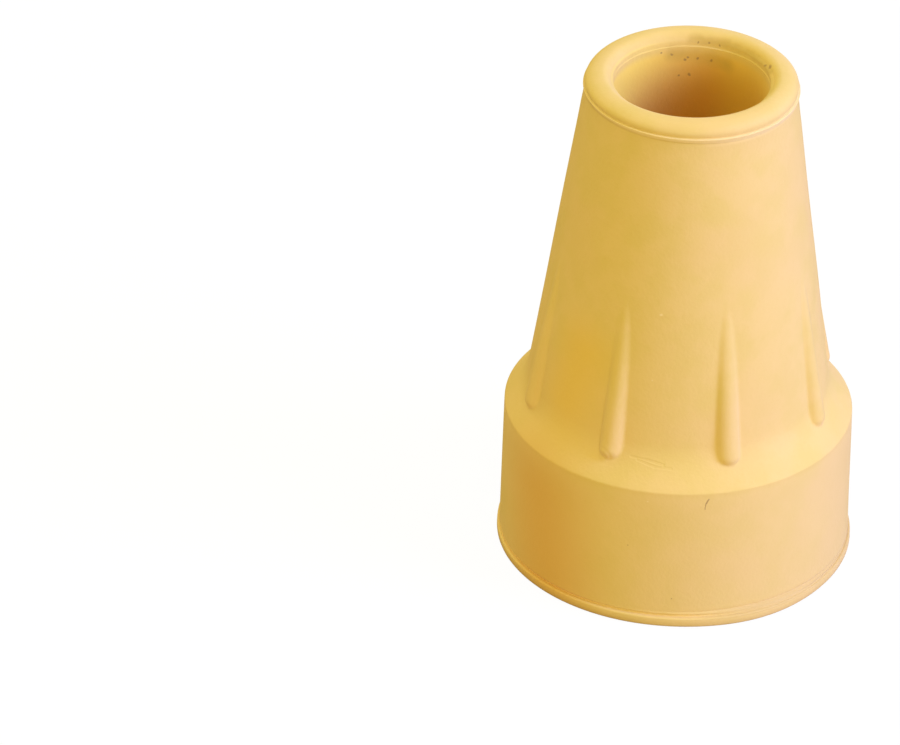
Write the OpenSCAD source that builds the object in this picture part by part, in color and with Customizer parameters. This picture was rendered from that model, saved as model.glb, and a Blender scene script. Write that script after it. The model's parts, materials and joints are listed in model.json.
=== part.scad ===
// Moulded rubber tip for the foot of a cane or crutch.
// It is one solid piece: a foot with a ringed tread, a tapering neck with
// gusset ribs round its foot, and a blind socket with a beaded mouth.
// Millimetres, +Z up along the socket, origin at the centre of the tread.

/* [Foot] */
// Outer diameter of the thin lip round the tread
lip_d = 44; // [42:0.1:48]
// Height of the lip above the tread
lip_h = 1.3; // [1:0.1:2]
// Diameter of the collar just above the lip
collar_base_d = 43.4; // [43:0.1:43.8]
// Diameter of the collar at its top edge
collar_top_d = 42.9; // [42:0.1:43.4]
// Height of the collar's top edge above the tread
collar_h = 18.9; // [16:0.1:20]
// Rounding of the collar's top edge
collar_edge_r = 0.5; // [0.2:0.1:1]

/* [Neck] */
// Diameter of the neck where the sloping shoulder ends
neck_foot_d = 37.4; // [36:0.1:39]
// Height of the neck's foot above the tread
neck_foot_h = 22.1; // [21:0.1:23]
// Diameter of the neck just under the parting ledge
neck_top_d = 25.5; // [25:0.1:26]
// Fillet between the shoulder and the neck
neck_fillet_r = 1; // [0.5:0.1:2]

/* [Mouth] */
// Height of the whole tip, from the tread to the crest of the bead
tip_h = 65.5; // [60:0.1:70]
// Diameter of the thin parting ledge under the bead
ledge_d = 26.2; // [26:0.1:27]
// Thickness of the parting ledge
ledge_t = 0.3; // [0.2:0.1:0.8]
// Diameter of the circle that the bead's crest runs on
bead_crest_d = 22; // [21.5:0.1:22.5]
// Outer diameter of the bead where it stands on the ledge
bead_d = 25.3; // [24.5:0.1:25.9]
// Rise of the bead above the ledge
bead_rise = 1.4; // [1:0.1:2]
// Diameter of the mouth at the bead's inner foot
mouth_d = 19.3; // [19.3:0.1:20]
// Depth of the bead's inner foot below the crest
mouth_depth = 1.8; // [1.5:0.1:3]
// Diameter of the socket for the shaft
socket_d = 19; // [18.8:0.1:19.2]
// Depth of the socket below the crest of the bead
socket_depth = 45.5; // [35:0.1:46]

/* [Ribs] */
// Number of gusset ribs
rib_count = 8; // [4:1:10]
// Angle of the first rib about the axis
rib_angle = -71.7; // [-90:0.1:90]
// Thickness of the round bar that stands out of the neck as a rib
rib_t = 3.1; // [2.4:0.1:3.6]
// Radius from the axis to the outermost point of a rib's foot
rib_reach = 19.8; // [19.5:0.1:20.5]
// Height of the centre of a rib's round foot
rib_foot_h = 22.3; // [21.8:0.1:23]
// Height at which a rib dies into the neck
rib_top_h = 41; // [35:0.5:48]

/* [Tread] */
// Diameter of the flat disc in the middle of the tread
tread_disc_d = 13; // [11:0.1:14]
// Width of the inner groove
inner_groove_w = 3.5; // [3:0.1:4]
// Width of the flat ring between the grooves
middle_land_w = 3.3; // [2.5:0.1:4]
// Width of the outer groove
outer_groove_w = 3.7; // [3:0.1:4]
// Depth of both grooves
groove_depth = 3.6; // [3:0.1:5]
// Rounding of the groove's bottom
groove_round_r = 1.4; // [0.5:0.1:1.6]
// Lean of the groove walls, in degrees
groove_lean = 6; // [0:1:12]

/* [Hidden] */

// Facets of round shapes, and the steps of rounded corners and of the bead in degrees
$fn = 96;
corner_step = 30;
bead_step = 15;

// Rounding of the lip's edges
lip_edge_r = 0.3;
// Distance by which cutting and joining shapes pass a face
overlap = 1;

ledge_top_h = tip_h - bead_rise;
ledge_h = ledge_top_h - ledge_t;
mouth_h = tip_h - mouth_depth;
socket_floor_h = tip_h - socket_depth;
rib_r = rib_t / 2;
rib_foot_r = rib_reach - rib_r;
inner_groove_r = tread_disc_d / 2 + inner_groove_w / 2;
outer_groove_r = tread_disc_d / 2 + inner_groove_w + middle_land_w + outer_groove_w / 2;

// Radius of the neck's straight flank at a height
function neck_r(h) =
    (neck_foot_d + (neck_top_d - neck_foot_d) * (h - neck_foot_h) / (ledge_h - neck_foot_h)) / 2;

// Angle at which a rib leans in from the vertical
rib_lean = atan((rib_reach - neck_r(rib_top_h)) / (rib_top_h - rib_foot_h));

function unit(v) = v / norm(v);
function turned(v, angle) = [v.x * cos(angle) - v.y * sin(angle), v.x * sin(angle) + v.y * cos(angle)];

// Points of the arc that rounds the corner b of the path a, b, c
function corner(a, b, c, radius) =
    let (
        to_a = unit(a - b),
        to_c = unit(c - b),
        half = acos(to_a * to_c) / 2,
        centre = b + unit(to_a + to_c) * radius / sin(half),
        start = b + to_a * radius / tan(half) - centre,
        end = b + to_c * radius / tan(half) - centre,
        sweep = (180 - 2 * half) * sign(start.x * end.y - start.y * end.x),
        steps = ceil(abs(sweep) / corner_step)
    )
    [for (i = [0 : steps]) centre + turned(start, sweep * i / steps)];

// Closed outline from corners given as [radius from axis, height, rounding]
function rounded(corners) =
    let (
        n = len(corners),
        at = [for (p = corners) [p[0], p[1]]]
    )
    [for (i = [0 : n - 1]) each
        corners[i][2] == 0 ? [at[i]] : corner(at[(i + n - 1) % n], at[i], at[(i + 1) % n], corners[i][2])];

// Foot, collar, shoulder and neck, up to the top of the parting ledge
module body() {
    rotate_extrude()
        polygon(rounded([
            [0, 0, 0],
            [lip_d / 2, 0, lip_edge_r],
            [lip_d / 2, lip_h, lip_edge_r],
            [collar_base_d / 2, lip_h, 0],
            [collar_top_d / 2, collar_h, collar_edge_r],
            [neck_foot_d / 2, neck_foot_h, neck_fillet_r],
            [neck_top_d / 2, ledge_h, 0],
            [ledge_d / 2, ledge_h, 0],
            [ledge_d / 2, ledge_top_h, 0],
            [bead_crest_d / 2, ledge_top_h, 0],
            [bead_crest_d / 2, mouth_h, 0],
            [0, mouth_h, 0]
        ]));
}

// Point of a bead side: w and h are its half width and its rise from a foot
// at height foot_h, and angle runs from 0 at the outer foot to 180 at the inner
function bead_point(w, h, foot_h, angle) = [bead_crest_d / 2 + w * cos(angle), foot_h + h * sin(angle)];

// Round bead that stands on the ledge and rings the mouth, deeper on its
// inner side than on its outer
module bead() {
    outer_w = (bead_d - bead_crest_d) / 2;
    inner_w = (bead_crest_d - mouth_d) / 2;
    rotate_extrude()
        polygon([
            [mouth_d / 2, mouth_h - overlap],
            [bead_d / 2, mouth_h - overlap],
            for (angle = [0 : bead_step : 90]) bead_point(outer_w, bead_rise, ledge_top_h, angle),
            for (angle = [90 + bead_step : bead_step : 180]) bead_point(inner_w, mouth_depth, mouth_h, angle)
        ]);
}

// One gusset rib: a round bar with a ball foot that leans into the neck, so
// that it stands proud at its foot and dies away towards the mouth
module rib() {
    bar_l = (rib_top_h + overlap - rib_foot_h) / cos(rib_lean);
    translate([rib_foot_r, 0, rib_foot_h]) {
        sphere(r = rib_r, $fn = 48);
        rotate([0, -rib_lean, 0])
            cylinder(h = bar_l, r = rib_r, $fn = 48);
    }
}

module ribs() {
    for (i = [0 : rib_count - 1])
        rotate([0, 0, rib_angle + i * 360 / rib_count])
            rib();
}

// Ring groove in the tread, with leaning walls and a round bottom
module groove(centre_r, width) {
    mouth = width / 2 + overlap * tan(groove_lean);
    floor = width / 2 - groove_depth * tan(groove_lean);
    round_r = min(groove_round_r, 0.98 * floor * tan(45 + groove_lean / 2));
    rotate_extrude()
        translate([centre_r, 0])
            polygon(rounded([
                [-mouth, -overlap, 0],
                [mouth, -overlap, 0],
                [floor, groove_depth, round_r],
                [-floor, groove_depth, round_r]
            ]));
}

// Blind hole for the shaft
module socket() {
    translate([0, 0, socket_floor_h])
        cylinder(h = socket_depth + overlap, d = socket_d);
}

module tip() {
    color([0.9, 0.73, 0.43])
        difference() {
            union() {
                body();
                bead();
                ribs();
            }
            socket();
            groove(inner_groove_r, inner_groove_w);
            groove(outer_groove_r, outer_groove_w);
        }
}

tip();
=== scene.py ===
# Looks of a moulded rubber tip for the foot of a cane or crutch.
# Sizes are in millimetres, and become metres where Blender takes them.
import json
import math

import bpy
import numpy as np
from mathutils import Matrix, Vector


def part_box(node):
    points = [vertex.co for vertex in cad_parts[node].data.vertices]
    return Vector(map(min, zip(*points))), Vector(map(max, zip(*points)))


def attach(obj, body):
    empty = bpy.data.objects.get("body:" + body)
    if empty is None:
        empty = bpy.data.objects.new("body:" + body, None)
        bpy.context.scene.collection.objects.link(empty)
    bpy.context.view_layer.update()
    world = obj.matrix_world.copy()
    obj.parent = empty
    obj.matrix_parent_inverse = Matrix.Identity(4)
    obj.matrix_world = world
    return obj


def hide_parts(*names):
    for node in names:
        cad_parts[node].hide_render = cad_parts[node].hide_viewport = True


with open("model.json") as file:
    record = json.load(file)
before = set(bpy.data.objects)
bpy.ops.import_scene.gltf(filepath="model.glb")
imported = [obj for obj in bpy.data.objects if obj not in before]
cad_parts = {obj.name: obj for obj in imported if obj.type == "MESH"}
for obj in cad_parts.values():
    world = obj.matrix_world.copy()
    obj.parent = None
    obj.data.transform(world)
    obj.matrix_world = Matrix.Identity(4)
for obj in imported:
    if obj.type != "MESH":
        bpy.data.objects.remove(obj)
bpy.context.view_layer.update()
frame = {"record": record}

MM = 0.001

# Sizes that the frame gives
tip_low, tip_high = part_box("tip")
TIP_H = tip_high.z / MM
LIP_R = (tip_high.x - tip_low.x) / 2 / MM
SOCKET = next(mount for mount in frame["record"]["mounts"] if mount["name"] == "socket")
SOCKET_R = SOCKET["dims"]["r_mm"]

# Foot: lip, collar and shoulder. The collar's wall is cut in a little at its
# foot, where it meets the top of the lip
LIP_H = 1.3
LIP_ROUND = 0.35
LIP_TOP_ROUND = 0.22
LIP_SLOPE_H = 0.62
UNDERCUT_DEPTH = 0.26
UNDERCUT_H = 0.38
UNDERCUT_FOOT_ROUND = 0.07
UNDERCUT_TOP_ROUND = 0.2
COLLAR_BASE_R = 21.7
COLLAR_TOP_R = 21.45
COLLAR_H = 18.9
COLLAR_ROUND = 0.45
NECK_FOOT_R = 18.7
NECK_FOOT_H = 22.1
SHOULDER_FILLET = 1.0

# Uneven lip: extra radius as (most, azimuth in degrees, spread in degrees), for
# the lip itself and for the slope from it up to the collar, then where the
# slope shows, and the crease along its top
LIP_SPREADS = [(0.4, -62, 22), (0.13, -95, 28)]
LIP_SLOPES = [(0.33, -50, 30), (0.05, 5, 40)]
SLOPE_AZIMUTH = -50
SLOPE_SPREAD = 34
CREASE_DEPTH = 0.1
CREASE_HALF_H = 0.16

# The lip's own edge lies beyond this radius or under this height, and the foot
# is uneven only beyond the last radius
LIP_EDGE_R = LIP_R - 0.25
LIP_EDGE_H = LIP_H - 0.1
UNEVEN_FROM_R = COLLAR_BASE_R - 0.5

# Neck, parting ledge, bead and mouth. The ledge flares out of the neck over
# its run, and the bead's wall is tucked in by an angle where it stands on it
NECK_TOP_R = 12.83
LEDGE_R = 13.10
LEDGE_T = 0.25
LEDGE_RUN = 0.45
LEDGE_RUN_ROUND = 0.2
LEDGE_FACE_LOW = 0.1
LEDGE_LOW_ROUND = 0.08
LEDGE_TOP_ROUND = 0.07
BEAD_RISE = 1.75
BEAD_CREST_R = 10.88
BEAD_R = 12.9
BEAD_TUCK = 0.35
MOUTH_R = 9.65
MOUTH_DEPTH = 1.8
MOUTH_EDGE_ROUND = 0.05
CREST_DROP = 0.08
CREST_H = TIP_H - CREST_DROP
BEAD_FOOT_H = TIP_H - BEAD_RISE
LEDGE_H = TIP_H - BEAD_RISE - LEDGE_T
SOCKET_DEPTH = 45.5
SOCKET_FLOOR_ROUND = 1.5

# Small step at the bead's inner foot: the least share of it that shows, the
# azimuth and spread in degrees of the part where all of it shows, and the
# radius within which and the height above which its rows lie
INNER_STEP_LEAST = 0.12
INNER_STEP_AZIMUTH = 77
INNER_STEP_SPREAD = 48
INNER_STEP_TO_R = MOUTH_R + 0.15
INNER_STEP_FROM_H = TIP_H - 6

# Gusset ribs. Their fillet thins out towards their top, over the fade
RIB_COUNT = 8
RIB_ANGLE = math.radians(-71.7)
RIB_R = 1.55
RIB_FOOT_R = 18.25
RIB_FOOT_H = 22.3
RIB_TOP_H = 41.0
RIB_FILLET = 0.22
RIB_FILLET_END_H = RIB_TOP_H + 2
RIB_FILLET_FADE = 8
RIB_FILLET_LEAST = 0.05

# Small round button that a pin leaves on the foot of the second rib, and the
# low fold round its upper right
PIN_ANGLE = -118.4
PIN_FROM_AXIS = 19.7
PIN_H = 21.75
PIN_R = 0.8
PIN_RISE = 0.13
PIN_EDGE = 0.4
PIN_FOLD = 0.04
PIN_FOLD_GAP = 0.4
PIN_FOLD_SPREAD = 0.3

# Slight offsets of the moulding: how far the foot and the neck lie aside along
# +X at these heights, and how far the ledge tips down and the bead's crest up
# on that side, beyond a radius
ASIDE_AT_H = [COLLAR_H, 23.0, 62.0, 63.5, TIP_H]
ASIDE = [0.03, -0.13, 0.05, 0.11, 0.13]
TIPPED_AT_H = [LEDGE_H - 5, LEDGE_H, TIP_H - 0.5]
TIPPED = [0, -0.2, 0.05]
TIPPED_FROM_R = SOCKET_R + 0.3

# Slow waves of the moulded outside: how many are added up, how far each stands
# in or out, the range of waves round the tip (less one at its end) and of
# their pitch up it, and the height and the radius beyond which they show
WAVE_COUNT = 9
WAVE_DEPTH = 0.012
WAVES_ROUND = (1, 7)
WAVE_PITCH = (14, 40)
WAVES_FROM_H = 0.5
WAVES_FROM_R = SOCKET_R + 2

# Tread
TREAD_DISC_R = 6.5
INNER_GROOVE_W = 3.5
MIDDLE_LAND_W = 3.3
OUTER_GROOVE_W = 3.7
GROOVE_DEPTH = 3.6
GROOVE_LEAN = math.radians(6)
GROOVE_ROUND = 1.3
LAND_EDGE_ROUND = 0.15

# Small marks of moulding and handling, at (radius, azimuth in degrees, height):
# scratches, flow lines and stains from one place to another and their half
# width, and specks with their radius
SCRATCHES = [
    ((21.47, -80.7, 18.1), (21.48, -81.5, 17.5), 0.14),
    ((21.48, -81.5, 17.5), (21.49, -81.8, 16.8), 0.09),
]
FLOW_LINES = [
    ((18.9, -108.5, 22.0), (19.0, -102.0, 21.9), 0.28),
    ((19.0, -102.0, 21.9), (19.25, -96.5, 21.6), 0.28),
    ((19.1, -106.0, 21.8), (19.45, -99.5, 21.35), 0.26),
    ((19.45, -99.5, 21.35), (19.5, -93.5, 21.3), 0.26),
]
DARK_SPECKS = [
    ((9.5, 103.2, 62.7), 0.24),
    ((9.5, 83.8, 62.1), 0.26),
    ((9.5, 89.6, 59.8), 0.26),
    ((9.5, 73.5, 62.0), 0.26),
    ((9.5, 111.0, 63.1), 0.2),
    ((9.5, 93.0, 61.9), 0.24),
    ((9.5, 91.0, 62.2), 0.24),
    ((9.5, 97.2, 59.7), 0.2),
    ((9.75, 68.0, 64.2), 0.18),
    ((9.78, 76.0, 64.3), 0.2),
    ((9.75, 84.0, 64.2), 0.18),
    ((10.0, 17.5, 64.8), 0.42),
    ((9.8, 23.0, 64.5), 0.32),
    ((21.56, -106.5, 10.9), 0.15),
    ((21.66, -91.5, 3.9), 0.14),
]
STAINS = [
    ((9.95, 88.0, 64.6), (9.95, 62.0, 64.6), 0.98),
    ((9.95, 66.0, 64.6), (9.9, 40.0, 64.5), 0.82),
    ((9.9, 40.0, 64.5), (9.85, 12.0, 64.5), 0.8),
    ((9.5, 103.0, 62.8), (9.5, 62.0, 62.0), 1.6),
]
PALE_SPECKS = [
    ((21.47, -100.5, 17.6), 0.17),
    ((21.5, -109.5, 15.6), 0.15),
    ((16.03, -100.5, 40.9), 0.28),
    ((17.27, -102.5, 32.2), 0.15),
]

# Patches and grains of the rubber
CLOUD = 5
BROAD_CLOUD = 14
FINE_GRAIN = 0.45
PITTING = 1.6

# Broad painted warm shade on the foot and painted warm bounce light on the neck, towards -X and -Y,
# placed as the marks are
FOOT_PAINTED_SHADE_PLACE = ((22, -138, 3), (21.5, -142, 13), 12)
NECK_PAINTED_BOUNCE_PLACE = ((18.3, -140, 26), (17.5, -135, 33), 7)

# Colours of the rubber, of what lies over it, and of painted light and shade
GUM = (0.735, 0.512, 0.108, 1)
GUM_PALER = (0.770, 0.528, 0.138, 1)
GUM_CREAMY = (0.775, 0.512, 0.155, 1)
GRAIN_BROWN = (0.72, 0.37, 0.045, 1)
# Painted light high in the socket, and painted shade deeper in it, ochre towards +X
SOCKET_PAINTED_LIGHT = (0.95, 0.69, 0.06, 1)
SOCKET_PAINTED_SHADE_BROWN = (0.68, 0.305, 0.022, 1)
SOCKET_PAINTED_SHADE_OCHRE = (0.76, 0.43, 0.022, 1)
# Painted light on the ledge and on the neck just under it
LEDGE_PAINTED_LIGHT = (0.92, 0.68, 0.28, 1)
COLLAR_CREAM = (0.82, 0.58, 0.20, 1)
# Painted warm shade on the foot and painted warm bounce light on the neck
FOOT_PAINTED_WARM_SHADE = (0.71, 0.36, 0.01, 1)
NECK_PAINTED_BOUNCE_LIGHT = (0.82, 0.50, 0.01, 1)
LIP_DULL = (0.62, 0.41, 0.115, 1)
# Painted shade along the tread's outer edge
EDGE_PAINTED_SHADE = (0.50, 0.27, 0.03, 1)
STAIN_OLIVE = (0.50, 0.30, 0.003, 1)
MARK_DARK = (0.28, 0.12, 0.002, 1)
MARK_PALE = (0.88, 0.66, 0.30, 1)
SHEEN_TINT = (1, 0.95, 0.95, 1)

# Mesh columns between one rib and the next, and how much they crowd together
# at the ribs. The ribs shape the outside between two heights, in rows given as
# (from, to, step), and each radius there is found by so many halvings
COLUMNS_PER_RIB = 48
CROWDING = 0.6
RADIUS_HALVINGS = 36
RIBBED_FROM_H = 19.5
RIBBED_TO_H = 46.0
RIBBED_ROWS = [(RIBBED_FROM_H + 0.16, 24.5, 0.16), (24.5, 38, 0.75), (38, RIBBED_TO_H, 0.5)]

# Mesh rows of the turned parts: widest turn in a rounded corner, longest
# straight stretch outside and in the socket, rows of the bead on its outer and
# inner side, and rows near the collar's foot, from its height
CORNER_TURN = math.radians(14)
OUTSIDE_STRETCH = 2.2
SOCKET_STRETCH = 3.5
BEAD_OUTER_ROWS = 18
BEAD_INNER_ROWS = 15
COLLAR_FOOT_ROWS = (-0.1, -0.03, 0.03, 0.1, 0.2, 0.35, 0.6)

# Camera in the photograph's place: lens for a 36 mm sensor, place in
# millimetres, and its downward tilt and roll in degrees
CAMERA_LENS = 313.42
CAMERA_SENSOR = 36
CAMERA_PLACE = (-28.226, -819.13, 533.559)
CAMERA_TILT = 31.9744
CAMERA_ROLL = 1.2587

# Light from all round, and square lamps that face a place in the tip: azimuth
# and elevation in degrees, distance and size in metres, power and colour
WORLD_COLOUR = (1, 0.91, 0.29)
WORLD_STRENGTH = 0.867
LAMPS_FACE = Vector((0, 0, 35 * MM))
LAMPS = [
    ("key", -21, 34, 1.0, 0.45, 3.8, (0.90, 1.09, 2.85)),
    ("right fill", -10, 5, 1.0, 0.6, 2.7, (0.89, 1.07, 2.8)),
    ("front fill", -86, 8, 1.2, 0.6, 4.0, (1, 0.98, 0.95)),
    ("rear fill", 135, 35, 1.0, 0.6, 1.5, (1, 0.97, 0.9)),
]

# Paper floor: half its side in metres, the gap under the tread, what it throws
# back on the tip, and how the camera sees it
FLOOR_HALF = 1.5
FLOOR_GAP = 0.02
PAPER_WARM = (0.37, 0.24, 0.09, 1)
PAPER_GREY = (0.3, 0.3, 0.3, 1)
PAPER_GLOW = 1.13
PAPER_GLOW_SHARE = 0.85
WHITE = (1, 1, 1, 1)


def unit(vector):
    return vector / np.linalg.norm(vector)


def rotated(vector, angle):
    cosine = math.cos(angle)
    sine = math.sin(angle)
    return np.array([vector[0] * cosine - vector[1] * sine, vector[0] * sine + vector[1] * cosine])


def round_corner(before, corner, after, radius):
    """Points of the arc that rounds one corner of an outline."""
    to_before = unit(before - corner)
    to_after = unit(after - corner)
    half = math.acos(to_before @ to_after) / 2
    centre = corner + unit(to_before + to_after) * radius / math.sin(half)
    start = corner + to_before * radius / math.tan(half) - centre
    end = corner + to_after * radius / math.tan(half) - centre
    turn = math.copysign(math.pi - 2 * half, start[0] * end[1] - start[1] * end[0])
    steps = max(3, round(abs(turn) / CORNER_TURN))
    return [centre + rotated(start, turn * step / steps) for step in range(steps + 1)]


def outline(corners):
    """Points of an open outline from corners given as (radius from the axis, height, rounding)."""
    at = [np.array(corner[:2]) for corner in corners]
    points = [at[0]]
    for before, corner, after, entry in zip(at, at[1:], at[2:], corners[1:]):
        points += round_corner(before, corner, after, entry[2]) if entry[2] else [corner]
    return points + [at[-1]]


def divided(points, longest):
    """The same outline with no straight stretch longer than asked."""
    result = [points[0]]
    for start, end in zip(points, points[1:]):
        steps = max(1, math.ceil(np.linalg.norm(end - start) / longest))
        result += [start + (end - start) * step / steps for step in range(1, steps + 1)]
    return result


def neck_radius(height):
    share = (height - NECK_FOOT_H) / (LEDGE_H - NECK_FOOT_H)
    return NECK_FOOT_R + (NECK_TOP_R - NECK_FOOT_R) * share


def shoulder_radius(height):
    share = (height - COLLAR_H) / (NECK_FOOT_H - COLLAR_H)
    return COLLAR_TOP_R + (NECK_FOOT_R - COLLAR_TOP_R) * share


def groove_corners(start_r, width):
    """Corners of one ring groove of the tread, from its inner edge to its outer."""
    lean = GROOVE_DEPTH * math.tan(GROOVE_LEAN)
    return [
        (start_r, 0, LAND_EDGE_ROUND),
        (start_r + lean, GROOVE_DEPTH, GROOVE_ROUND),
        (start_r + width - lean, GROOVE_DEPTH, GROOVE_ROUND),
        (start_r + width, 0, LAND_EDGE_ROUND),
    ]


def foot_outline():
    """From the middle of the tread, over its grooves and the lip, up the collar and onto the shoulder."""
    outer_groove_r = TREAD_DISC_R + INNER_GROOVE_W + MIDDLE_LAND_W
    collar_foot_h = LIP_H + LIP_SLOPE_H
    corners = [(0, 0, 0)]
    corners += groove_corners(TREAD_DISC_R, INNER_GROOVE_W)
    corners += groove_corners(outer_groove_r, OUTER_GROOVE_W)
    corners += [
        (LIP_R, 0, LIP_ROUND),
        (LIP_R, LIP_H, LIP_TOP_ROUND),
        (COLLAR_BASE_R - UNDERCUT_DEPTH, LIP_H, UNDERCUT_FOOT_ROUND),
        (COLLAR_BASE_R, LIP_H + UNDERCUT_H, UNDERCUT_TOP_ROUND),
    ]
    corners += [(COLLAR_BASE_R, collar_foot_h + above, 0) for above in COLLAR_FOOT_ROWS]
    corners += [
        (COLLAR_TOP_R, COLLAR_H, COLLAR_ROUND),
        (shoulder_radius(RIBBED_FROM_H), RIBBED_FROM_H, 0),
    ]
    return divided(outline(corners), OUTSIDE_STRETCH)


def mouth_outline():
    """From the top of the neck, over the parting ledge and the bead, and down the socket to its floor."""
    bead_w = BEAD_R - BEAD_CREST_R
    mouth_h = TIP_H - MOUTH_DEPTH
    socket_floor_h = TIP_H - SOCKET_DEPTH
    ledge = [
        (neck_radius(RIBBED_TO_H), RIBBED_TO_H, 0),
        (neck_radius(LEDGE_H - LEDGE_RUN), LEDGE_H - LEDGE_RUN, LEDGE_RUN_ROUND),
        (LEDGE_R, LEDGE_H + LEDGE_FACE_LOW, LEDGE_LOW_ROUND),
        (LEDGE_R, BEAD_FOOT_H, LEDGE_TOP_ROUND),
        (BEAD_CREST_R + bead_w * math.cos(BEAD_TUCK), BEAD_FOOT_H, 0),
    ]
    points = divided(outline(ledge), OUTSIDE_STRETCH)
    bead_half_h = (CREST_H - BEAD_FOOT_H) / (1 + math.sin(BEAD_TUCK))
    for turn in np.linspace(-BEAD_TUCK, math.pi / 2, BEAD_OUTER_ROWS)[1:]:
        rise = bead_half_h * (math.sin(turn) - 1)
        points.append(np.array([BEAD_CREST_R + bead_w * math.cos(turn), CREST_H + rise]))
    for turn in np.linspace(0, math.pi / 2, BEAD_INNER_ROWS)[1:-1]:
        inward = (BEAD_CREST_R - MOUTH_R) * math.sin(turn)
        points.append(np.array([BEAD_CREST_R - inward, mouth_h + (CREST_H - mouth_h) * math.cos(turn)]))
    socket = [
        (MOUTH_R, mouth_h, 0),
        (SOCKET_R, mouth_h, MOUTH_EDGE_ROUND),
        (SOCKET_R, socket_floor_h, SOCKET_FLOOR_ROUND),
        (0, socket_floor_h, 0),
    ]
    return points + divided(outline(socket), SOCKET_STRETCH)


def soft_join(a, b, reach):
    """Distance to two joined solids, with a fillet where they meet."""
    blend = np.maximum(reach - np.abs(a - b), 0) / reach
    return np.minimum(a, b) - blend * blend * reach / 4


def distance_to_body(radius, height):
    """Distance from the neck and the shoulder, with the fillet between them."""
    neck_lean = math.atan2(NECK_FOOT_R - NECK_TOP_R, LEDGE_H - NECK_FOOT_H)
    shoulder_lean = math.atan2(COLLAR_TOP_R - NECK_FOOT_R, NECK_FOOT_H - COLLAR_H)
    to_neck = (radius - neck_radius(height)) * math.cos(neck_lean)
    to_shoulder = (radius - shoulder_radius(height)) * math.cos(shoulder_lean)
    return soft_join(to_neck, to_shoulder, SHOULDER_FILLET)


def distance_to_rib(radius, height, angle):
    """Distance from the nearest rib: a leaning round bar with a ball for its foot."""
    pitch = 2 * math.pi / RIB_COUNT
    off_rib = (angle - RIB_ANGLE + pitch / 2) % pitch - pitch / 2
    outward = radius * np.cos(off_rib) - RIB_FOOT_R
    across = radius * np.sin(off_rib)
    above_foot = height - RIB_FOOT_H
    crest_drop = RIB_FOOT_R + RIB_R - neck_radius(RIB_TOP_H)
    lean = math.atan2(crest_drop, RIB_TOP_H - RIB_FOOT_H)
    along = above_foot * math.cos(lean) - outward * math.sin(lean)
    proud = above_foot * math.sin(lean) + outward * math.cos(lean)
    return np.sqrt(proud ** 2 + across ** 2 + np.minimum(along, 0) ** 2) - RIB_R


def ribbed_radius(height, angle):
    """Radius of the ribbed outside at heights and angles, found by halving the search stretch."""
    low = np.full(np.broadcast(height, angle).shape, NECK_TOP_R)
    high = np.full(low.shape, LIP_R + 2)
    fillet = RIB_FILLET * np.clip((RIB_FILLET_END_H - height) / RIB_FILLET_FADE, RIB_FILLET_LEAST, 1)
    for _ in range(RADIUS_HALVINGS):
        middle = (low + high) / 2
        gap = soft_join(distance_to_body(middle, height), distance_to_rib(middle, height, angle), fillet)
        outside = gap > 0
        high = np.where(outside, middle, high)
        low = np.where(outside, low, middle)
    return (low + high) / 2


def column_angles():
    """Angles of the mesh columns, closer together at each rib."""
    pitch = 2 * math.pi / RIB_COUNT
    across = (np.arange(COLUMNS_PER_RIB) / COLUMNS_PER_RIB) * 2 - 1
    sector = ((1 - CROWDING) * across + CROWDING * across ** 5) * pitch / 2
    return np.concatenate([RIB_ANGLE + rib * pitch + sector for rib in range(RIB_COUNT)])


def round_from(angle, azimuth):
    """Degrees round the rim from an azimuth, between -180 and 180."""
    return (np.degrees(angle) - azimuth + 180) % 360 - 180


def hump(distance, spread):
    """1 where the distance is nothing, falling smoothly to about a third at the spread."""
    return np.exp(-(distance / spread) ** 2)


def humps(angle, entries):
    """Sum of humps round the rim, each given as (most, azimuth, spread)."""
    return sum(most * hump(round_from(angle, azimuth), spread) for most, azimuth, spread in entries)


def lip_swell(angle, height, radius):
    """Extra radius of the lip, which spreads at its front right and slopes up into the collar there."""
    above = np.clip((height - LIP_H) / LIP_SLOPE_H, 0, 1)
    sloping = hump(round_from(angle, SLOPE_AZIMUTH), SLOPE_SPREAD)
    spread = humps(angle, LIP_SPREADS)
    slope = humps(angle, LIP_SLOPES)
    crease = CREASE_DEPTH * hump(height - LIP_H - LIP_SLOPE_H, CREASE_HALF_H) * sloping
    over_lip = (spread * sloping + slope) * (1 - above) - crease
    at_edge = (radius > LIP_EDGE_R) | (height < LIP_EDGE_H)
    return np.where(at_edge, spread, over_lip)


def inner_step(angle):
    """Share of the small step at the bead's inner foot that shows, most at the rear."""
    shown = hump(round_from(angle, INNER_STEP_AZIMUTH), INNER_STEP_SPREAD)
    return INNER_STEP_LEAST + (1 - INNER_STEP_LEAST) * shown


def pin_mark(angle, height):
    """Small round button on the foot of the second rib, with a low fold round its upper right."""
    across = np.radians(round_from(angle, PIN_ANGLE)) * PIN_FROM_AXIS
    up = height - PIN_H
    off = np.hypot(across, up)
    button = np.clip((PIN_R - off) / PIN_EDGE + 0.5, 0, 1)
    button = button * button * (3 - 2 * button)
    upper_right = np.clip(0.5 + (across + up) / off.clip(0.1) * 0.7, 0, 1)
    fold = hump(off - PIN_R - PIN_FOLD_GAP, PIN_FOLD_SPREAD) * upper_right
    return PIN_RISE * button + PIN_FOLD * fold


def moulding_waves(angle, height):
    """Slow unevenness of the moulded outside, a few hundredths of a millimetre."""
    random = np.random.default_rng(7)
    total = np.zeros(np.broadcast(angle, height).shape)
    for _ in range(WAVE_COUNT):
        turns = random.integers(*WAVES_ROUND)
        pitch = random.uniform(*WAVE_PITCH)
        phase = random.uniform(0, 2 * math.pi, 2)
        total += np.sin(turns * angle + phase[0]) * np.sin(2 * math.pi * height / pitch + phase[1])
    return total * WAVE_DEPTH


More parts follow.
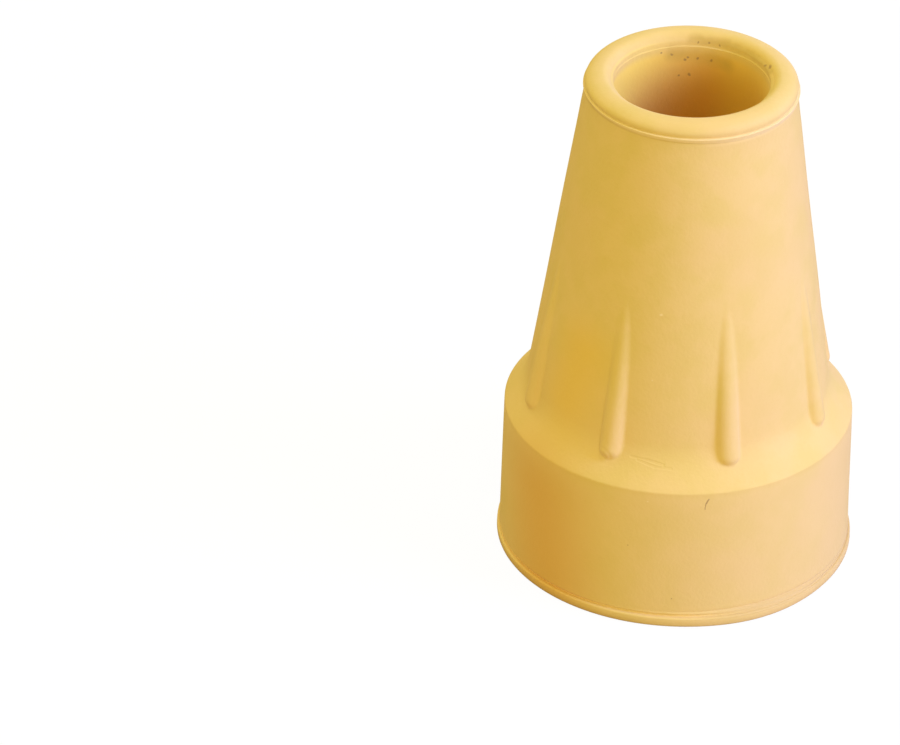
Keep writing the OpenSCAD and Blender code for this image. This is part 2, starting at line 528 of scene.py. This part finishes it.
def skin_rows():
    """Radius, height and angle of the whole skin, one row per height and one column per angle."""
    angle = column_angles()[None, :]
    foot = np.array(foot_outline())
    mouth = np.array(mouth_outline())
    ribbed_heights = np.concatenate([np.arange(*row) for row in RIBBED_ROWS])[:, None]
    ribbed = ribbed_radius(ribbed_heights, angle) + pin_mark(angle, ribbed_heights)
    one = np.ones_like(angle)
    radius = np.concatenate([foot[1:, :1] * one, ribbed, mouth[:-1, :1] * one])
    height = np.concatenate([foot[1:, 1:] * one, ribbed_heights * one, mouth[:-1, 1:] * one])

    moulded_side = (height > WAVES_FROM_H) & (radius > WAVES_FROM_R)
    radius = radius + moulding_waves(angle, height) * moulded_side
    uneven_foot = radius > UNEVEN_FROM_R
    radius = radius + lip_swell(angle, height, radius) * uneven_foot
    in_step = (radius < INNER_STEP_TO_R) & (radius > SOCKET_R) & (height > INNER_STEP_FROM_H)
    radius = np.where(in_step, SOCKET_R + (radius - SOCKET_R) * inner_step(angle), radius)
    return radius, height, angle


def skin_points(radius, height, angle):
    """Places of the skin, with the moulding's slight offsets."""
    aside = np.interp(height, ASIDE_AT_H, ASIDE)
    tipped = np.interp(height, TIPPED_AT_H, TIPPED) * np.cos(angle)
    tipped = tipped * (radius > TIPPED_FROM_R)
    return np.stack([radius * np.cos(angle) + aside, radius * np.sin(angle), height + tipped], axis=2)


def tip_mesh():
    """The whole tip as one closed skin, turned from its outline with the ribs worked in."""
    radius, height, angle = skin_rows()
    rows, columns = radius.shape
    points = skin_points(radius, height, angle).reshape(-1, 3)
    verts = np.concatenate([[[0, 0, 0]], points, [[0, 0, TIP_H - SOCKET_DEPTH]]]) * MM
    index = 1 + np.arange(rows * columns).reshape(rows, columns)
    right = np.roll(index, -1, axis=1)
    quads = np.stack([index[:-1], right[:-1], right[1:], index[1:]], axis=2).reshape(-1, 4)
    last = len(verts) - 1
    fans = [(0, b, a) for a, b in zip(index[0], right[0])]
    fans += [(last, a, b) for a, b in zip(index[-1], right[-1])]
    mesh = bpy.data.meshes.new("cane_tip")
    mesh.from_pydata(verts.tolist(), [], quads.tolist() + [tuple(int(v) for v in fan) for fan in fans])
    mesh.polygons.foreach_set("use_smooth", np.ones(len(mesh.polygons), bool))
    mesh.validate()
    mesh.update()
    return mesh


class Value:
    """A number that changes over a surface. Arithmetic on it adds Math nodes."""

    def __init__(self, nodes, socket):
        self.nodes = nodes
        self.socket = socket

    def math(self, operation, *others):
        inputs = dict(enumerate((self,) + others))
        return self.nodes.node("ShaderNodeMath", {"operation": operation}, inputs)

    def __add__(self, other):
        return self.math("ADD", other)

    def __sub__(self, other):
        return self.math("SUBTRACT", other)

    def __rsub__(self, other):
        return self.nodes.node("ShaderNodeMath", {"operation": "SUBTRACT"}, {0: other, 1: self})

    def __mul__(self, other):
        return self.math("MULTIPLY", other)

    def __pow__(self, other):
        return self.math("POWER", other)

    def smooth(self, low, high):
        """0 below low, 1 above high, with a soft change between."""
        inputs = {"Value": self, "From Min": low, "From Max": high}
        return self.nodes.node("ShaderNodeMapRange", {"interpolation_type": "SMOOTHSTEP"}, inputs)

    def past(self, low, high):
        """The same for a distance or a place, with low and high in millimetres."""
        return self.smooth(low * MM, high * MM)


class Nodes:
    """The nodes of one material or of the world."""

    def __init__(self, owner):
        owner.use_nodes = True
        self.tree = owner.node_tree
        self.tree.nodes.clear()

    def node(self, kind, settings=None, inputs=None, output=0):
        """A node of one kind: its settings are set first, then its sockets get values or links."""
        made = self.tree.nodes.new(kind)
        for name, setting in (settings or {}).items():
            setattr(made, name, setting)
        for name, given in (inputs or {}).items():
            self.give(made.inputs[name], given)
        return Value(self, made.outputs[output]) if made.outputs else None

    def give(self, socket, given):
        if isinstance(given, Value):
            self.tree.links.new(given.socket, socket)
        else:
            socket.default_value = given

    def vector_math(self, operation, inputs, output=0):
        return self.node("ShaderNodeVectorMath", {"operation": operation}, inputs, output)

    def position(self):
        return self.node("ShaderNodeTexCoord", output="Object")

    def parts(self, vector):
        split = self.node("ShaderNodeSeparateXYZ", inputs={"Vector": vector})
        outputs = split.socket.node.outputs
        return [Value(self, outputs[axis]) for axis in "XYZ"]

    def noise(self, vector, grain, detail, seed=0):
        """Soft cloudy noise from 0 to 1 whose patches are about grain millimetres."""
        shifted = self.vector_math("ADD", {0: vector, 1: (seed, seed * 0.7, seed * 0.3)})
        inputs = {"Vector": shifted, "Scale": 1 / (grain * MM), "Detail": detail, "Roughness": 0.55}
        return self.node("ShaderNodeTexNoise", inputs=inputs)

    def wavering(self, vector, grain, reach):
        """The same places shifted to and fro by up to half the reach, in millimetres."""
        inputs = {"Vector": vector, "Scale": 1 / (grain * MM), "Detail": 2}
        cloud = self.node("ShaderNodeTexNoise", inputs=inputs, output="Color")
        centred = self.vector_math("SUBTRACT", {0: cloud, 1: (0.5, 0.5, 0.5)})
        shift = self.vector_math("SCALE", {0: centred, "Scale": reach * MM})
        return self.vector_math("ADD", {0: vector, 1: shift})

    def mix(self, first, second, factor):
        """Colour between two colours."""
        made = self.node("ShaderNodeMix", {"data_type": "RGBA", "clamp_factor": True}).socket.node
        colour_inputs = [socket for socket in made.inputs if socket.type == "RGBA"]
        colour_output = next(socket for socket in made.outputs if socket.type == "RGBA")
        for socket, given in zip([made.inputs["Factor"]] + colour_inputs, (factor, first, second)):
            self.give(socket, given)
        return Value(self, colour_output)


def at_rim(radius, azimuth, height):
    """Place in metres from a radius and a height in millimetres and an azimuth in degrees."""
    turn = math.radians(azimuth)
    return Vector((radius * math.cos(turn), radius * math.sin(turn), height)) * MM


def stroke(position, start, end, half_width, core=0.35):
    """1 along the core of a short line between two places, fading to 0 at its edge."""
    nodes = position.nodes
    first = at_rim(*start)
    along = at_rim(*end) - first
    offset = nodes.vector_math("SUBTRACT", {0: position, 1: first})
    share = nodes.vector_math("DOT_PRODUCT", {0: offset, 1: along / along.length_squared}, "Value")
    share = share.math("MAXIMUM", 0).math("MINIMUM", 1)
    nearest = nodes.vector_math("SCALE", {0: along, "Scale": share})
    away = nodes.vector_math("DISTANCE", {0: offset, 1: nearest}, "Value")
    return 1 - away.past(core * half_width, half_width)


def spot(position, place, radius):
    """1 in the middle of a round spot, fading to 0 at its edge."""
    away = position.nodes.vector_math("DISTANCE", {0: position, 1: at_rim(*place)}, "Value")
    return 1 - away.past(0.3 * radius, radius)


def gathered(marks):
    """The strongest of several marks at each place."""
    total = marks[0]
    for mark in marks[1:]:
        total = total.math("MAXIMUM", mark)
    return total


def gum_body(nodes, position, grain):
    """Clouded gum colour with a fine brownish grain."""
    clouds = nodes.noise(position, CLOUD, detail=4)
    broad = nodes.noise(position, BROAD_CLOUD, detail=2, seed=11)
    body = nodes.mix(GUM, GUM_PALER, clouds.smooth(0.35, 0.65))
    body = nodes.mix(body, GUM_CREAMY, broad.smooth(0.45, 0.65) * 0.5)
    return nodes.mix(body, GRAIN_BROWN, grain.smooth(0.55, 0.8) * 0.10)


def with_painted_socket_light_and_shade(nodes, colour, position):
    """Painted light and shade inside the socket: yellow painted light high up, and brown painted shade
    lower down, ochre towards +X, starting higher towards +Y and +X.
    """
    x, y, z = nodes.parts(position)
    from_axis = (x * x + y * y) ** 0.5
    within = 1 - from_axis.past(SOCKET_R, MOUTH_R + 0.1)
    under_mouth = 1 - z.past(TIP_H - 3.2, TIP_H - 1.9) * 0.7
    over_tread = z.past(8, 12)
    in_socket = within * under_mouth * over_tread
    # Painted shade deepens lower down and starts higher towards +Y and +X
    painted_shade_depth = 1 - (z - y * 0.8 - x * 0.6).past(TIP_H - 18, TIP_H - 3)
    deep_painted_shade = nodes.mix(SOCKET_PAINTED_SHADE_BROWN, SOCKET_PAINTED_SHADE_OCHRE, x.past(1.5, 6.5))
    return nodes.mix(colour, nodes.mix(SOCKET_PAINTED_LIGHT, deep_painted_shade, painted_shade_depth), in_socket)


def with_edges(nodes, colour, position):
    """Painted light on the ledge and under it, paler on the collar, painted warm shade and bounce light
    towards -X, duller at the lip's top, and painted shade along the tread's edge.
    """
    x, y, z = nodes.parts(position)
    from_axis = (x * x + y * y) ** 0.5

    # Painted light on the ledge's outer face and on the neck just under it, against the ledge's shadow.
    # The ledge's top tips down a little towards +X
    under_ledge_painted_light = z.past(LEDGE_H - 1.0, LEDGE_H - 0.3)
    at_edge = from_axis.past(LEDGE_R - 0.2, LEDGE_R - 0.1)
    level = z + x * 0.012
    at_edge = at_edge * (1 - level.past(BEAD_FOOT_H + 0.03, BEAD_FOOT_H + 0.11))
    colour = nodes.mix(colour, LEDGE_PAINTED_LIGHT, under_ledge_painted_light * at_edge * 0.7)

    on_foot = from_axis.past(20.5, 21.2) * (1 - z.past(COLLAR_H - 1, COLLAR_H))
    colour = nodes.mix(colour, COLLAR_CREAM, on_foot * 0.3)
    # Painted warm shade on the foot and painted warm bounce light on the neck, towards -X
    colour = nodes.mix(colour, FOOT_PAINTED_WARM_SHADE, stroke(position, *FOOT_PAINTED_SHADE_PLACE, core=0) * 0.8)
    colour = nodes.mix(colour, NECK_PAINTED_BOUNCE_LIGHT, stroke(position, *NECK_PAINTED_BOUNCE_PLACE, core=0) * 0.6)

    # The top of the lip where it slopes up into the collar
    lip_top = from_axis.past(21.5, 21.6) * z.past(LIP_H - 0.4, LIP_H)
    lip_top = lip_top * (1 - z.past(LIP_H + 0.58, LIP_H + 0.72)) * x.past(0, 10)
    colour = nodes.mix(colour, LIP_DULL, lip_top * 0.8)

    # Painted shade along the tread's outer edge, darkest towards -X
    edge_painted_shade = (1 - z.past(0.1, 1.0)) * from_axis.past(21.2, 21.7)
    shade_towards_minus_x = (0 - x).past(0, 12) * 0.5 + 0.3
    return nodes.mix(colour, EDGE_PAINTED_SHADE, edge_painted_shade * shade_towards_minus_x)


def with_marks(nodes, colour, position):
    """Stains and specks at the mouth, and a scratch and pale specks on the outside."""
    uneven = nodes.wavering(position, 0.5, 0.35)
    cloudy = nodes.wavering(position, 1.5, 0.8)
    dark = [stroke(uneven, *mark) for mark in SCRATCHES] + [spot(uneven, *mark) for mark in DARK_SPECKS]
    pale = [spot(uneven, *mark) for mark in PALE_SPECKS]
    soiled = [stroke(cloudy, *mark, core=0) for mark in STAINS]
    colour = nodes.mix(colour, STAIN_OLIVE, gathered(soiled) * 0.5)
    colour = nodes.mix(colour, MARK_DARK, gathered(dark) * 0.7)
    return nodes.mix(colour, MARK_PALE, gathered(pale) * 0.7)


def rubber():
    """Matt pale gum rubber, cloudy and finely grained, as it leaves the mould."""
    material = bpy.data.materials.new("gum_rubber")
    nodes = Nodes(material)
    position = nodes.position()
    grain = nodes.noise(position, FINE_GRAIN, detail=2, seed=3)
    colour = gum_body(nodes, position, grain)
    for add_tone in (with_painted_socket_light_and_shade, with_edges, with_marks):
        colour = add_tone(nodes, colour, position)

    flow = gathered([stroke(position, *line) for line in FLOW_LINES])
    pitting = nodes.noise(position, PITTING, detail=3, seed=5)
    relief = grain * 0.5 + pitting * 0.5 - flow * 0.8
    bump = nodes.node("ShaderNodeBump", inputs={"Strength": 0.25, "Distance": 0.0002, "Height": relief})
    shader = nodes.node("ShaderNodeBsdfPrincipled", inputs={
        "Base Color": colour,
        "Roughness": 0.6,
        "Specular IOR Level": 0.25,
        "Normal": bump,
        "Sheen Weight": 0.2,
        "Sheen Roughness": 1.0,
        "Sheen Tint": SHEEN_TINT,
    })
    nodes.node("ShaderNodeOutputMaterial", inputs={"Surface": shader})
    return material


def paper():
    """White paper that looks evenly white to the camera and keeps a trace of shadow."""
    material = bpy.data.materials.new("white_paper")
    nodes = Nodes(material)
    to_camera = nodes.node("ShaderNodeLightPath", output="Is Camera Ray")
    tone = nodes.mix(PAPER_WARM, PAPER_GREY, to_camera)
    matt = nodes.node("ShaderNodeBsdfDiffuse", inputs={"Color": tone})
    glow = nodes.node("ShaderNodeEmission", inputs={"Color": WHITE, "Strength": PAPER_GLOW})
    shader = nodes.node("ShaderNodeMixShader", inputs={0: to_camera * PAPER_GLOW_SHARE, 1: matt, 2: glow})
    nodes.node("ShaderNodeOutputMaterial", inputs={"Surface": shader})
    return material


def add_object(name, data):
    made = bpy.data.objects.new(name, data)
    bpy.context.scene.collection.objects.link(made)
    return made


def build_tip():
    tip = add_object("cane_tip", tip_mesh())
    tip.data.materials.append(rubber())
    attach(tip, "root")
    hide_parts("tip")


def build_floor():
    half = FLOOR_HALF
    mesh = bpy.data.meshes.new("floor")
    corners = [(-half, -half, 0), (half, -half, 0), (half, half, 0), (-half, half, 0)]
    mesh.from_pydata(corners, [], [(0, 1, 2, 3)])
    floor = add_object("floor", mesh)
    floor.location.z = -FLOOR_GAP * MM
    floor.data.materials.append(paper())


def set_world():
    """Even pale light from all round, which the camera and reflections see as white."""
    world = bpy.data.worlds.new("studio")
    bpy.context.scene.world = world
    nodes = Nodes(world)
    seen = nodes.node("ShaderNodeLightPath", output="Is Camera Ray")
    for ray in ("Is Transmission Ray", "Is Glossy Ray"):
        seen = seen.math("MAXIMUM", nodes.node("ShaderNodeLightPath", output=ray))
    light = tuple(part * WORLD_STRENGTH for part in WORLD_COLOUR) + (1,)
    background = nodes.node("ShaderNodeBackground", inputs={"Color": nodes.mix(light, WHITE, seen)})
    nodes.node("ShaderNodeOutputWorld", inputs={"Surface": background})


def add_lamp(name, azimuth, elevation, distance, size, power, colour):
    """Square lamp at an azimuth from +X and an elevation, in degrees, facing the tip."""
    light = bpy.data.lights.new(name, "AREA")
    light.size = size
    light.energy = power
    light.color = colour
    lamp = add_object(name, light)
    turn = math.radians(azimuth)
    rise = math.radians(elevation)
    away = Vector((math.cos(rise) * math.cos(turn), math.cos(rise) * math.sin(turn), math.sin(rise)))
    lamp.location = LAMPS_FACE + away * distance
    lamp.rotation_euler = away.to_track_quat("Z", "Y").to_euler()


def add_camera():
    data = bpy.data.cameras.new("camera")
    data.lens = CAMERA_LENS
    data.sensor_width = CAMERA_SENSOR
    data.clip_start = 0.05
    data.clip_end = 10
    camera = add_object("camera", data)
    tilt = math.radians(CAMERA_TILT)
    roll = math.radians(CAMERA_ROLL)
    forward = Vector((0, math.cos(tilt), -math.sin(tilt)))
    level = Vector((1, 0, 0))
    upright = level.cross(forward)
    right = level * math.cos(roll) + upright * math.sin(roll)
    up = upright * math.cos(roll) - level * math.sin(roll)
    turn = Matrix((right, up, -forward)).transposed()
    camera.matrix_world = Matrix.Translation(Vector(CAMERA_PLACE) * MM) @ turn.to_4x4()
    bpy.context.scene.camera = camera


bpy.context.scene.view_settings.view_transform = "Standard"
add_camera()
set_world()
for lamp in LAMPS:
    add_lamp(*lamp)
build_floor()
build_tip()
